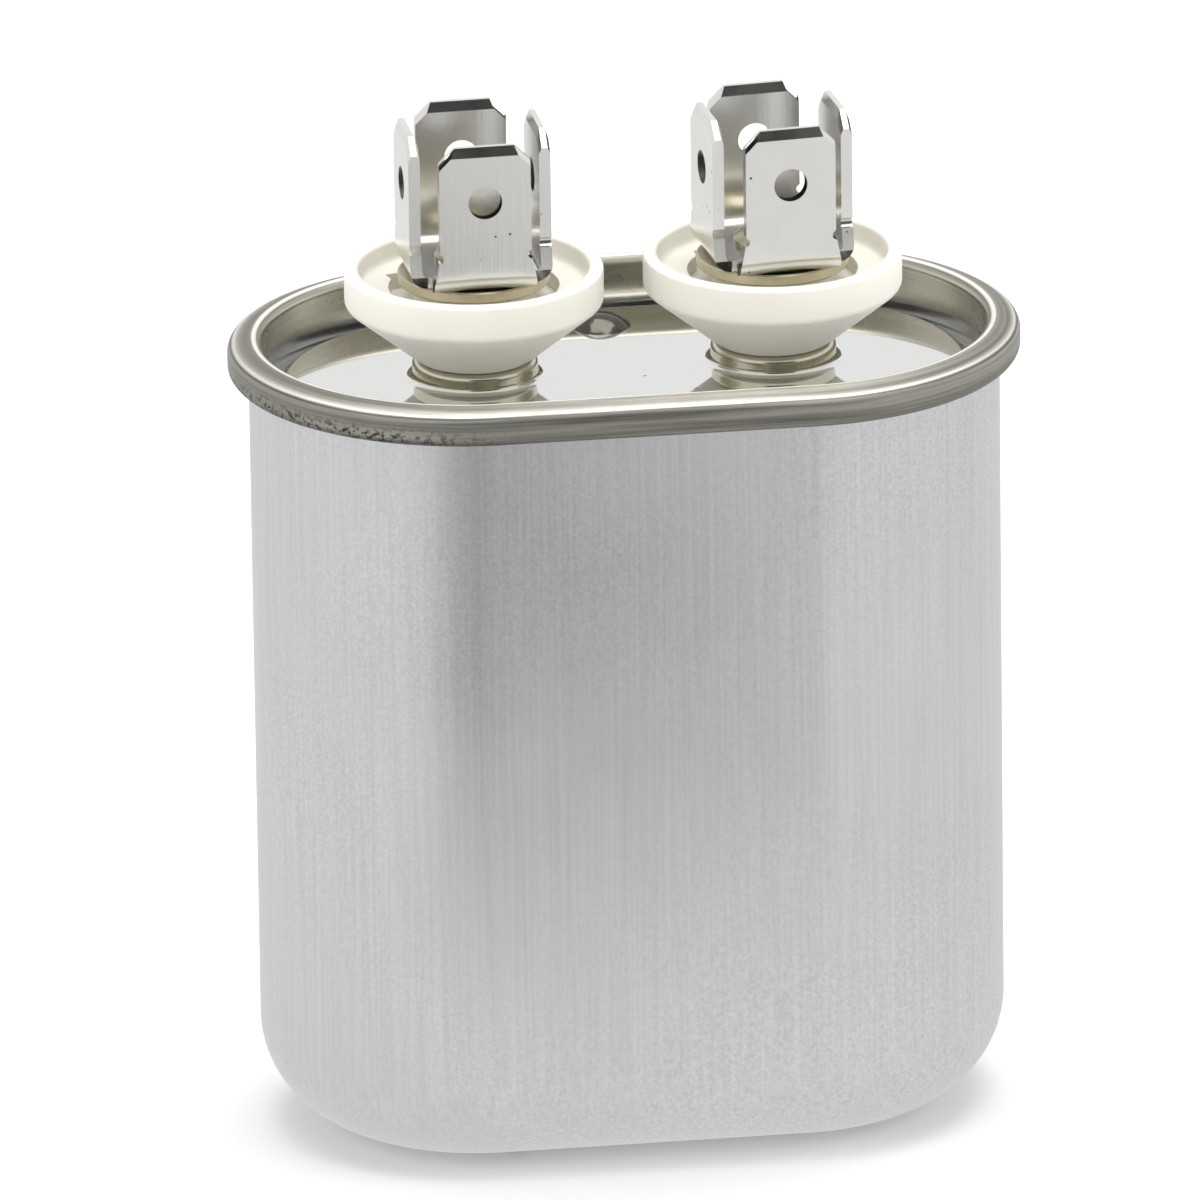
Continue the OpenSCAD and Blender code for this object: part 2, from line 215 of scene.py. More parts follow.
def arc(middle, radius, start, end, steps):
    """Points on an arc, from one angle to the other in degrees."""
    turns = [math.radians(start + (end - start) * i / steps) for i in range(steps + 1)]
    return [Vector((middle[0] + radius * math.cos(a), middle[1] + radius * math.sin(a))) for a in turns]


def bent_sheet(path, thickness):
    """The outline of a sheet whose middle follows a path, left open at the path's start."""
    path = [Vector(p) for p in path]
    sides = ([], [])
    for i, point in enumerate(path):
        before = (point - path[i - 1]).normalized() if i else (path[1] - point).normalized()
        after = (path[i + 1] - point).normalized() if i + 1 < len(path) else before
        mean = (before + after).normalized()
        across = Vector((-mean.y, mean.x)) / mean.dot(before)
        sides[0].append(point + across * thickness / 2)
        sides[1].append(point - across * thickness / 2)
    return sides[0] + sides[1][::-1]


def result_of(piece):
    """Turns a piece with modifiers into a plain mesh."""
    bpy.context.view_layer.update()
    seen_now = piece.evaluated_get(bpy.context.evaluated_depsgraph_get())
    mesh = bpy.data.meshes.new_from_object(seen_now)
    piece.modifiers.clear()
    piece.data = mesh
    return piece


def shade(piece, sharp_over, outwards=True):
    """Merges doubles, shades curves smooth up to an angle, and keeps the flats between them flat."""
    shape = bmesh.new()
    shape.from_mesh(piece.data)
    bmesh.ops.remove_doubles(shape, verts=shape.verts, dist=1e-6)
    if outwards:
        bmesh.ops.recalc_face_normals(shape, faces=shape.faces)
    for face in shape.faces:
        face.smooth = True
    for edge in shape.edges:
        edge.smooth = len(edge.link_faces) == 2 and edge.calc_face_angle(0) < math.radians(sharp_over)
    shape.to_mesh(piece.data)
    shape.free()
    for layer in list(piece.data.attributes):
        if layer.name == "custom_normal":
            piece.data.attributes.remove(layer)
    weights = piece.modifiers.new("flat_faces", "WEIGHTED_NORMAL")
    weights.keep_sharp = True
    return result_of(piece)


def rides_for(piece, paint, slot_name, *nodes):
    """Gives a finished piece its material, its body and the nodes that it stands for."""
    piece.data.materials.clear()
    piece.data.materials.append(paint)
    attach(piece, "root")
    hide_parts(*nodes)


# the tree that carries a section round the oval, or round a circle where the straight is nought
oval_sweep = bpy.data.node_groups.new("sweep_round_the_oval", "GeometryNodeTree")
for title, kind in (("Section", "Geometry"), ("Half Round", "Float"), ("Straight", "Float"),
                    ("Middle", "Vector"), ("Steps", "Int"), ("Metal", "Material")):
    oval_sweep.interface.new_socket(title, in_out="INPUT", socket_type="NodeSocket" + kind)
oval_sweep.interface.new_socket("Swept", in_out="OUTPUT", socket_type="NodeSocketGeometry")
given = add_node(oval_sweep, "NodeGroupInput").outputs
outline = add_node(oval_sweep, "GeometryNodeMeshToCurve", None, {"Mesh": given["Section"]})
ring = add_node(oval_sweep, "GeometryNodeCurvePrimitiveCircle", None,
                {"Resolution": given["Steps"], "Radius": given["Half Round"]})
half_step = add_node(oval_sweep, "ShaderNodeMath", {"operation": "DIVIDE", 0: math.pi},
                     {1: given["Steps"]})
turned = add_node(oval_sweep, "ShaderNodeCombineXYZ", None, {"Z": half_step.outputs[0]})
ring = add_node(oval_sweep, "GeometryNodeTransform", None,
                {"Geometry": ring.outputs["Curve"], "Rotation": turned.outputs[0]})
where = add_node(oval_sweep, "GeometryNodeInputPosition")
where = add_node(oval_sweep, "ShaderNodeSeparateXYZ", None, {0: where.outputs[0]})
which_end = add_node(oval_sweep, "ShaderNodeMath", {"operation": "SIGN"}, {0: where.outputs["X"]})
half_straight = add_node(oval_sweep, "ShaderNodeMath", {"operation": "MULTIPLY", 1: 0.5},
                         {0: given["Straight"]})
apart = add_node(oval_sweep, "ShaderNodeMath", {"operation": "MULTIPLY"},
                 {0: which_end.outputs[0], 1: half_straight.outputs[0]})
apart = add_node(oval_sweep, "ShaderNodeCombineXYZ", None, {"X": apart.outputs[0]})
apart = add_node(oval_sweep, "ShaderNodeVectorMath", {"operation": "ADD"},
                 {0: apart.outputs[0], 1: given["Middle"]})
ring = add_node(oval_sweep, "GeometryNodeSetPosition", None,
                {"Geometry": ring.outputs[0], "Offset": apart.outputs[0]})
ring = add_node(oval_sweep, "GeometryNodeSetCurveNormal", {"mode": "Z_UP"},
                {"Curve": ring.outputs[0]})
swept = add_node(oval_sweep, "GeometryNodeCurveToMesh", None,
                 {"Curve": ring.outputs[0], "Profile Curve": outline.outputs[0]})
swept = add_node(oval_sweep, "GeometryNodeRealizeInstances", None, {"Geometry": swept.outputs[0]})
swept = add_node(oval_sweep, "GeometryNodeSetMaterial", None,
                 {"Geometry": swept.outputs[0], "Material": given["Metal"]})
add_node(oval_sweep, "NodeGroupOutput", None, {"Swept": swept.outputs[0]})


def swept_round(section, half_round, straight_side, middle, metal, steps=240):
    """The mesh of a section (distance from the middle line, height) carried round the oval."""
    mesh = bpy.data.meshes.new("section")
    # the sweep turns a section's second axis downwards
    points = [((p[0] - half_round) * MM, -p[1] * MM, 0) for p in section]
    mesh.from_pydata(points, [(i, i + 1) for i in range(len(points) - 1)], [])
    piece = show(mesh, "section")
    maker = piece.modifiers.new("sweep", "NODES")
    maker.node_group = oval_sweep
    sizes = {"Half Round": half_round * MM, "Straight": straight_side * MM,
             "Middle": [c * MM for c in middle], "Steps": steps, "Metal": metal}
    for socket in oval_sweep.interface.items_tree:
        if socket.in_out == "INPUT" and socket.name in sizes:
            maker[socket.identifier] = sizes[socket.name]
    swept_mesh = result_of(piece).data
    bpy.data.objects.remove(piece)
    return swept_mesh


def closed_up(name, meshes, heights):
    """Joins swept meshes and fills the flat sheet between their open edges at these heights."""
    shape = bmesh.new()
    for mesh in meshes:
        shape.from_mesh(mesh)
    bmesh.ops.remove_doubles(shape, verts=shape.verts, dist=1e-6)
    for height in heights:
        rims = [e for e in shape.edges if e.is_boundary
                and all(abs(v.co.z - height * MM) < 1e-6 for v in e.verts)]
        bmesh.ops.triangle_fill(shape, use_beauty=True, edges=rims, normal=(0, 0, 1))
    joined = bpy.data.meshes.new(name)
    shape.to_mesh(joined)
    shape.free()
    return show(joined, name)


# satin aluminium: a broad sheen, upright lines 0.3 mm apart where the wall slid over the punch,
# and grain 0.25 mm across. The real lines are finer, and are drawn as coarse as they need to show
drawn_aluminium, tree, shader = material("drawn_aluminium")
shader.inputs["Metallic"].default_value = 1.0
place = add_node(tree, "ShaderNodeTexCoord").outputs["Object"]
cloud = add_node(tree, "ShaderNodeTexNoise", {"Scale": 60.0, "Detail": 3.0}, {"Vector": place})
tone = add_node(tree, "ShaderNodeMixRGB", {"Color1": linear(drawn_dark), "Color2": linear(drawn_light)},
                {"Fac": cloud.outputs["Fac"]})
upright = add_node(tree, "ShaderNodeMapping", {"Scale": (3400.0, 3400.0, 60.0)}, {"Vector": place})
upright = add_node(tree, "ShaderNodeTexNoise", {"Scale": 1.0, "Detail": 2.0, "Roughness": 0.5},
                   {"Vector": upright.outputs[0]})
grain = add_node(tree, "ShaderNodeTexNoise", {"Scale": 3900.0, "Detail": 1.0}, {"Vector": place})
# the grain lies in broad patches
patches = add_node(tree, "ShaderNodeTexNoise", {"Scale": 45.0, "Detail": 1.0}, {"Vector": place})
patches = add_node(tree, "ShaderNodeMapRange", {"From Min": 0.35, "From Max": 0.6, "To Min": 0.25,
                                                "To Max": 1.0}, {"Value": patches.outputs["Fac"]})
grain = add_node(tree, "ShaderNodeMath", {"operation": "SUBTRACT", 1: 0.5},
                 {0: grain.outputs["Fac"]})
grain = add_node(tree, "ShaderNodeMath", {"operation": "MULTIPLY"},
                 {0: grain.outputs[0], 1: patches.outputs[0]})
relief = add_node(tree, "ShaderNodeMath", {"operation": "MULTIPLY_ADD", 1: 0.6},
                  {0: upright.outputs["Fac"], 2: grain.outputs[0]})
faint = add_node(tree, "ShaderNodeMapRange", {"From Min": 0.05, "From Max": 0.55, "To Min": 0.88,
                                              "To Max": 1.06}, {"Value": relief.outputs[0]})
tone = add_node(tree, "ShaderNodeVectorMath", {"operation": "SCALE"},
                {0: tone.outputs[0], "Scale": faint.outputs[0]})
tree.links.new(tone.outputs[0], shader.inputs["Base Color"])
rough = add_node(tree, "ShaderNodeMapRange", {"To Min": 0.3, "To Max": 0.42},
                 {"Value": cloud.outputs["Fac"]})
tree.links.new(rough.outputs[0], shader.inputs["Roughness"])
bump = add_node(tree, "ShaderNodeBump", {"Strength": 0.35, "Distance": 0.00003},
                {"Height": relief.outputs[0]})
tree.links.new(bump.outputs[0], shader.inputs["Normal"])

corner_r = wall_r - base_corner
hook_x = wall_r - sheet / 2 + seam_turn
can_path = [(corner_r - 1, sheet / 2)]
can_path += arc((corner_r, base_corner), base_corner - sheet / 2, -90, 0, 24)
can_path += arc((hook_x, hook_z), seam_turn, 180, 0, 12) + [(hook_x + seam_turn, turn_z - 0.05)]
can_wall = swept_round(bent_sheet(can_path, sheet), corner_r, straight, (0, 0, 0), drawn_aluminium)
can = shade(closed_up("can_body", [can_wall], (0, sheet)), 40)
rides_for(can, drawn_aluminium, "can_aluminium", "can")

# --- Cover ---
# Tin-plated steel stamping, double seamed to the can. The panel keeps the bright tin; the seaming
# rolls leave the rim duller and streaked along its length, with pits at its lower edge. The rim's
# colour also carries painted shade and a painted highlight in bands along its height.
panel_drop, groove_width, terminal_spacing = 3.1, 1.6, 20.8
collar_r, collar_height, collar_flare, sleeve_hole = 4.35, 1.45, 0.8, 3.05
fill_hole, fill_bead, fill_margin = 1.8, 4.2, 1.95
panel_z = case_height - panel_drop
panel_edge = wall_r - 1.5 * sheet - play - groove_width
fill_place = (-0.4, panel_edge - fill_margin - fill_bead / 2, 0)
# the rim's top colour is painted darker than its face, standing in for a darker reflection
bright_tin, rim_top_tone_with_painted_shade, pit_brown, collar_tin = "dededd", "8f8c83", "3f3c33", "c6c2b0"

tinplate, tree, shader = material("tinplate")
shader.inputs["Metallic"].default_value = 1.0
place = add_node(tree, "ShaderNodeTexCoord").outputs["Object"]
axes = add_node(tree, "ShaderNodeSeparateXYZ", None, {0: place})
# distance from the oval's middle line, which tells the rolled rim from the panel
beyond = add_node(tree, "ShaderNodeMath", {"operation": "ABSOLUTE"}, {0: axes.outputs["X"]})
beyond = add_node(tree, "ShaderNodeMath", {"operation": "SUBTRACT", 1: straight / 2 * MM},
                  {0: beyond.outputs[0]})
beyond = add_node(tree, "ShaderNodeMath", {"operation": "MAXIMUM", 1: 0.0}, {0: beyond.outputs[0]})
across = add_node(tree, "ShaderNodeCombineXYZ", None,
                  {"X": beyond.outputs[0], "Y": axes.outputs["Y"]})
across = add_node(tree, "ShaderNodeVectorMath", {"operation": "LENGTH"}, {0: across.outputs[0]})
rolled = add_node(tree, "ShaderNodeMapRange", {"From Min": 14.2 * MM, "From Max": 14.6 * MM},
                  {"Value": across.outputs["Value"]})
# streaks that run along the seam, 0.1 to 0.6 mm wide
along = add_node(tree, "ShaderNodeMath", {"operation": "MULTIPLY", 1: 0.02}, {0: axes.outputs["X"]})
streaks = add_node(tree, "ShaderNodeCombineXYZ", None, {
    "X": across.outputs["Value"], "Y": along.outputs[0], "Z": axes.outputs["Z"]})
streaks = add_node(tree, "ShaderNodeTexNoise", {"Scale": 1700.0, "Detail": 4.0, "Roughness": 0.65},
                   {"Vector": streaks.outputs[0]})
blotches = add_node(tree, "ShaderNodeTexNoise", {"Scale": 450.0, "Detail": 4.0}, {"Vector": place})
streak_dark = add_node(tree, "ShaderNodeMapRange", {
    "From Min": 0.32, "From Max": 0.68, "To Min": 0.45, "To Max": 1.35},
    {"Value": streaks.outputs["Fac"]})
# the rim's tone by height: a darker lower edge, painted shade where the seam meets the can; the face;
# a painted dark line and a painted highlight along the ridge; and the sloped top, painted darker to stand
# in for a darker reflection
height = add_node(tree, "ShaderNodeMapRange", {"From Min": 54.4 * MM, "From Max": 57.1 * MM},
                  {"Value": axes.outputs["Z"]})
rim_bands_painted_light = add_node(tree, "ShaderNodeValToRGB", None, {"Fac": height.outputs[0]})
ramp = rim_bands_painted_light.color_ramp.elements
ramp[0].position, ramp[0].color = 0.0, linear("5f5c53")
ramp[1].position, ramp[1].color = 1.0, linear(rim_top_tone_with_painted_shade)
for position, colour in ((0.1, "8d8b83"), (0.55, "9b9990"), (0.76, "a3a199"), (0.80, "66645c"),
                         (0.84, "cac8c0"), (0.90, "8b8981")):
    stop = ramp.new(position)
    stop.color = linear(colour)
# the rim's colour, with its painted shade and highlight bands, darkened along the streaks
rim_colour_with_painted_light = add_node(tree, "ShaderNodeVectorMath", {"operation": "SCALE"},
                {0: rim_bands_painted_light.outputs["Color"], "Scale": streak_dark.outputs[0]})
# a painted highlight along the inner edge of the top
painted_edge_highlight = add_node(tree, "ShaderNodeMath", {"operation": "SUBTRACT", 1: 14.86 * MM},
                  {0: across.outputs["Value"]})
painted_edge_highlight = add_node(tree, "ShaderNodeMath", {"operation": "ABSOLUTE"}, {0: painted_edge_highlight.outputs[0]})
painted_edge_highlight = add_node(tree, "ShaderNodeMapRange", {"From Min": 0.22 * MM, "From Max": 0.1 * MM},
                  {"Value": painted_edge_highlight.outputs[0]})
high = add_node(tree, "ShaderNodeMapRange", {"From Min": 56.6 * MM, "From Max": 56.9 * MM},
                {"Value": axes.outputs["Z"]})
painted_edge_highlight = add_node(tree, "ShaderNodeMath", {"operation": "MULTIPLY"},
                  {0: painted_edge_highlight.outputs[0], 1: high.outputs[0]})
rim_colour_with_painted_light = add_node(tree, "ShaderNodeMixRGB", {"Color2": linear("e6e4dc")},
                {"Fac": painted_edge_highlight.outputs[0], "Color1": rim_colour_with_painted_light.outputs[0]})
# pits where the roll bit, at the front left below the rim's ridge
low = add_node(tree, "ShaderNodeMapRange", {"From Min": 56.0 * MM, "From Max": 55.2 * MM},
               {"Value": axes.outputs["Z"]})
far_left = add_node(tree, "ShaderNodeMapRange", {"From Min": -9 * MM, "From Max": -19 * MM},
                    {"Value": axes.outputs["X"]})
front = add_node(tree, "ShaderNodeMapRange", {"From Min": 2 * MM, "From Max": -4 * MM},
                 {"Value": axes.outputs["Y"]})
bitten = add_node(tree, "ShaderNodeMath", {"operation": "MULTIPLY"},
                  {0: low.outputs[0], 1: far_left.outputs[0]})
bitten = add_node(tree, "ShaderNodeMath", {"operation": "MULTIPLY"},
                  {0: bitten.outputs[0], 1: front.outputs[0]})
pits = add_node(tree, "ShaderNodeTexNoise", {"Scale": 3000.0, "Detail": 3.0}, {"Vector": place})
pits = add_node(tree, "ShaderNodeMapRange", {"From Min": 0.5, "From Max": 0.6},
                {"Value": pits.outputs["Fac"]})
pits = add_node(tree, "ShaderNodeMath", {"operation": "MULTIPLY"},
                {0: pits.outputs[0], 1: bitten.outputs[0]})
rim_colour_with_painted_light = add_node(tree, "ShaderNodeMixRGB", {"Color2": linear(pit_brown)},
                {"Fac": pits.outputs[0], "Color1": rim_colour_with_painted_light.outputs[0]})
# a few dark specks on the panel, each about 0.2 mm across
speck = None
for spot in ((-15.6, -6.4), (1.1, -2.2), (4.2, -5.4), (14.5, -9.0), (-3.0, -9.6)):
    near = add_node(tree, "ShaderNodeVectorMath", {
        "operation": "DISTANCE", 1: (spot[0] * MM, spot[1] * MM, panel_z * MM)}, {0: place})
    near = add_node(tree, "ShaderNodeMath", {"operation": "LESS_THAN", 1: 0.1 * MM},
                    {0: near.outputs["Value"]})
    if speck:
        near = add_node(tree, "ShaderNodeMath", {"operation": "MAXIMUM"},
                        {0: near.outputs[0], 1: speck.outputs[0]})
    speck = near
bright = add_node(tree, "ShaderNodeMixRGB",
                  {"Color1": linear(bright_tin), "Color2": linear("3a3934")},
                  {"Fac": speck.outputs[0]})
# the collars are darker and yellower than the panel tin
drawn = add_node(tree, "ShaderNodeMapRange", {"From Min": (panel_z + 0.1) * MM,
                                              "From Max": (panel_z + 0.4) * MM},
                                              {"Value": axes.outputs["Z"]})
bright = add_node(tree, "ShaderNodeMixRGB", {"Color2": linear(collar_tin)},
                  {"Fac": drawn.outputs[0], "Color1": bright.outputs[0]})
tone = add_node(tree, "ShaderNodeMixRGB", None, {
    "Fac": rolled.outputs[0], "Color1": bright.outputs[0], "Color2": rim_colour_with_painted_light.outputs[0]})
tree.links.new(tone.outputs[0], shader.inputs["Base Color"])
rough_rim = add_node(tree, "ShaderNodeMapRange", {"To Min": 0.34, "To Max": 0.58},
                     {"Value": blotches.outputs["Fac"]})
rough = add_node(tree, "ShaderNodeMapRange", {"To Min": 0.04, "To Max": 0.2},
                 {"Value": drawn.outputs[0]})
rough = add_node(tree, "ShaderNodeMix", None, {
    "Factor": rolled.outputs[0], "A": rough.outputs[0], "B": rough_rim.outputs[0]})
tree.links.new(rough.outputs[0], shader.inputs["Roughness"])
relief = add_node(tree, "ShaderNodeMath", {"operation": "SUBTRACT"},
                  {0: streaks.outputs["Fac"], 1: pits.outputs[0]})
relief = add_node(tree, "ShaderNodeMath", {"operation": "MULTIPLY"},
                  {0: relief.outputs[0], 1: rolled.outputs[0]})
bump = add_node(tree, "ShaderNodeBump", {"Strength": 0.4, "Distance": 0.00004},
                {"Height": relief.outputs[0]})
tree.links.new(bump.outputs[0], shader.inputs["Normal"])

groove_bend = groove_width / 2 - sheet / 2
middle_z = panel_z - sheet / 2
groove_z = middle_z - groove_bend - 0.45
chuck_x = wall_r - 1.5 * sheet - play
outer_x = wall_r + 2.5 * sheet + 3 * play
rim_path = [(panel_edge - 1.2, middle_z)]
rim_path += arc((panel_edge - groove_bend, middle_z - groove_bend), groove_bend, 90, 0, 10)
rim_path += arc((panel_edge + groove_width / 2, groove_z), groove_width / 2, 180, 360, 16)
rim_path += arc((chuck_x + 0.45, case_height - sheet / 2 - 0.45), 0.45, 180, 90, 8)
rim_path += arc((outer_x - 0.5, case_height - sheet / 2 - 0.85), 0.5, 75, 0, 8)
rim_path += arc((outer_x - seam_turn, turn_z), seam_turn, 0, -180, 12)
rim_path += [(outer_x - 2 * seam_turn, hook_z - play)]
rim = swept_round(bent_sheet(rim_path, sheet), panel_edge, straight, (0, 0, 0), tinplate)
parts_of_cover = [rim]
flare_r, collar_z = collar_r + collar_flare, panel_z + collar_height
collar_path = [(flare_r + 0.6, middle_z)]
collar_path += arc((flare_r - sheet / 2, middle_z + collar_flare), collar_flare, -90, -180, 8)
collar_path += arc((collar_r - sheet / 2 - 0.3, collar_z - sheet / 2 - 0.3), 0.3, 0, 90, 6)
collar_path += [(sleeve_hole, collar_z - sheet / 2)]
for side in (-1, 1):
    parts_of_cover.append(swept_round(bent_sheet(collar_path, sheet), collar_r, 0,
                                      (side * terminal_spacing / 2, 0, 0), tinplate, 96))
hole_edge = [(fill_hole / 2, panel_z), (fill_hole / 2, panel_z - sheet)]
parts_of_cover.append(swept_round(hole_edge, fill_hole / 2, 0, fill_place, tinplate, 48))
cover = shade(closed_up("cover_sheet", parts_of_cover, (panel_z, panel_z - sheet)), 40)
rides_for(cover, tinplate, "cover_tinplate", "cover")

# --- Solder bead ---
# A drop of solder that closes the fill hole once the oil is in. It set fast, so its dome is
# bright but not quite even. Its colour is painted far darker than the tin round it, standing in for dark
# reflections.
solder, tree, shader = material("solder")
shader.inputs["Metallic"].default_value = 1.0
shader.inputs["Roughness"].default_value = 0.14
place = add_node(tree, "ShaderNodeTexCoord").outputs["Object"]
skin = add_node(tree, "ShaderNodeTexNoise", {"Scale": 500.0, "Detail": 3.0}, {"Vector": place})
# the dark tones are painted reflection, darker than the solder itself
tone = add_node(tree, "ShaderNodeMixRGB", {"Color1": linear("3a3831"), "Color2": linear("5e5c54")},
                {"Fac": skin.outputs["Fac"]})
tree.links.new(tone.outputs[0], shader.inputs["Base Color"])
bump = add_node(tree, "ShaderNodeBump", {"Strength": 0.5, "Distance": 0.0002},
                {"Height": skin.outputs["Fac"]})
tree.links.new(bump.outputs[0], shader.inputs["Normal"])


def copy_of(node, name):
    """A merged copy of a CAD node's mesh, to be finished."""
    return show(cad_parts[node].data.copy(), name)


bead = shade(copy_of("fill_seal", "solder_bead"), 30, outwards=False)
rides_for(bead, solder, "solder", "fill_seal")

# --- Insulator cups ---
# Ivory thermoplastic mouldings, half matt from the tool, that stand on the collars. Light enters
# the lip a little, so its shadows are soft and warm.
ivory, tree, shader = material("moulded_ivory_plastic")
shader.inputs["Subsurface Weight"].default_value = 0.5
shader.inputs["Subsurface Radius"].default_value = (0.004, 0.003, 0.002)
place = add_node(tree, "ShaderNodeTexCoord").outputs["Object"]
cloud = add_node(tree, "ShaderNodeTexNoise", {"Scale": 260.0, "Detail": 3.0}, {"Vector": place})
tone = add_node(tree, "ShaderNodeMixRGB", {"Color1": linear("eeebdf"), "Color2": linear("f5f3ea")},
                {"Fac": cloud.outputs["Fac"]})
tree.links.new(tone.outputs[0], shader.inputs["Base Color"])
rough = add_node(tree, "ShaderNodeMapRange", {"To Min": 0.38, "To Max": 0.5},
                 {"Value": cloud.outputs["Fac"]})
tree.links.new(rough.outputs[0], shader.inputs["Roughness"])
fine = add_node(tree, "ShaderNodeTexNoise", {"Scale": 2200.0, "Detail": 2.0}, {"Vector": place})
bump = add_node(tree, "ShaderNodeBump", {"Strength": 0.12, "Distance": 0.00004},
                {"Height": fine.outputs["Fac"]})
tree.links.new(bump.outputs[0], shader.inputs["Normal"])
for side in ("left", "right"):
    cup = shade(copy_of("cup_" + side, "insulator_" + side), 35, outwards=False)
    rides_for(cup, ivory, "cup_plastic", "cup_" + side)

# --- Washers and rivets ---
# Zinc-plated steel, slightly yellowed. Each rivet goes down through terminal, washer and cup, and
# is headed over the contact lug inside.
plated_steel, tree, shader = material("zinc_plated_steel")
shader.inputs["Metallic"].default_value = 1.0
place = add_node(tree, "ShaderNodeTexCoord").outputs["Object"]
cloud = add_node(tree, "ShaderNodeTexNoise", {"Scale": 900.0, "Detail": 3.0}, {"Vector": place})
tone = add_node(tree, "ShaderNodeMixRGB", {"Color1": linear("a89f86"), "Color2": linear("c6bfaa")},
                {"Fac": cloud.outputs["Fac"]})
tree.links.new(tone.outputs[0], shader.inputs["Base Color"])
rough = add_node(tree, "ShaderNodeMapRange", {"To Min": 0.24, "To Max": 0.4},
                 {"Value": cloud.outputs["Fac"]})
tree.links.new(rough.outputs[0], shader.inputs["Roughness"])
for side in ("left", "right"):
    washer = shade(copy_of("washer_" + side, "flat_washer_" + side), 35, outwards=False)
    rides_for(washer, plated_steel, "washer_steel", "washer_" + side)
    rivet = shade(copy_of("rivet_" + side, "headed_rivet_" + side), 35, outwards=False)
    rides_for(rivet, plated_steel, "rivet_steel", "rivet_" + side)

# --- Four-blade terminals ---
# Pressed and bent from one piece of tin-plated brass sheet: a base plate and four quick-connect
# blades with coined tips and corners and a dished detent hole. The riveter leaves each turned.
blade_width, blade_thickness, foot_width, blade_height = 6.35, 0.8, 7.1, 9.8
span_front_back, span_left_right, blade_hole, hole_from_tip = 11.0, 9.9, 1.8, 4.0
tip_taper, tip_half, cut_corner = 0.7, 0.2, 1.1
cup_height, post_drop, washer_thickness = 6.5, 1, 0.8
washer_top = collar_z + play + cup_height - post_drop + washer_thickness
plate_z = washer_top + blade_thickness
tip_z = plate_z + blade_height
notch_z, notch_r = plate_z + 1.9, 0.35
bend, half = blade_thickness, blade_thickness / 2
terminal_turn = {"left": 1.5, "right": 5.5}

satin_tin, tree, shader = material("satin_tin_on_brass")
shader.inputs["Metallic"].default_value = 1.0
place = add_node(tree, "ShaderNodeTexCoord").outputs["Object"]
cloud = add_node(tree, "ShaderNodeTexNoise", {"Scale": 330.0, "Detail": 4.0}, {"Vector": place})
tone = add_node(tree, "ShaderNodeMixRGB", {"Color1": linear("d6d5d1"), "Color2": linear("e6e5e2")},
                {"Fac": cloud.outputs["Fac"]})
# rolling grain runs up the blades, about 0.2 mm apart
grain = add_node(tree, "ShaderNodeMapping", {"Scale": (4500.0, 4500.0, 160.0)}, {"Vector": place})
grain = add_node(tree, "ShaderNodeTexNoise", {"Scale": 1.0, "Detail": 3.0},
                 {"Vector": grain.outputs[0]})
# specks of dirt, about 0.1 mm, in clusters
dirt = add_node(tree, "ShaderNodeTexVoronoi", {"Scale": 900.0}, {"Vector": place})
dirt = add_node(tree, "ShaderNodeMath", {"operation": "LESS_THAN", 1: 0.085},
                {0: dirt.outputs["Distance"]})
clusters = add_node(tree, "ShaderNodeTexNoise", {"Scale": 300.0, "Detail": 1.0}, {"Vector": place})
clusters = add_node(tree, "ShaderNodeMath", {"operation": "GREATER_THAN", 1: 0.52},
                    {0: clusters.outputs["Fac"]})
dirt = add_node(tree, "ShaderNodeMath", {"operation": "MULTIPLY"},
                {0: dirt.outputs[0], 1: clusters.outputs[0]})
tone = add_node(tree, "ShaderNodeMixRGB", {"Color2": linear("6a665c")},
                {"Fac": dirt.outputs[0], "Color1": tone.outputs[0]})
tree.links.new(tone.outputs[0], shader.inputs["Base Color"])
rough = add_node(tree, "ShaderNodeMapRange", {"To Min": 0.16, "To Max": 0.28},
                 {"Value": cloud.outputs["Fac"]})
tree.links.new(rough.outputs[0], shader.inputs["Roughness"])
bump = add_node(tree, "ShaderNodeBump", {"Strength": 0.25, "Distance": 0.00002},
                {"Height": grain.outputs["Fac"]})
tree.links.new(bump.outputs[0], shader.inputs["Normal"])


def prism(outline, axis, low, high):
    """A mesh in millimetres: an outline drawn in two axes and pulled along the third."""
    def corner(p, pulled):
        return (pulled, p[0], p[1]) if axis == "x" else (p[0], pulled, p[1])
    count = len(outline)
    mesh = bpy.data.meshes.new("prism")
    mesh.from_pydata(
        [corner(p, low) for p in outline] + [corner(p, high) for p in outline], [],
        [tuple(range(count)), tuple(range(2 * count - 1, count - 1, -1))]
        + [(i, (i + 1) % count, count + (i + 1) % count, count + i) for i in range(count)])
    return mesh


def cut_with(piece, operation, meshes):
    """Keeps or takes away what these shapes share with the piece."""
    shape = bmesh.new()
    for mesh in meshes:
        shape.from_mesh(mesh)
    bmesh.ops.recalc_face_normals(shape, faces=shape.faces)
    tool_mesh = bpy.data.meshes.new("cutter")
    shape.to_mesh(tool_mesh)
    shape.free()
    cutter = show(tool_mesh, "cutter")
    step = piece.modifiers.new("cut", "BOOLEAN")
    step.operation, step.solver, step.object, step.use_self = operation, "EXACT", cutter, True
    result_of(piece)
    bpy.data.objects.remove(cutter)


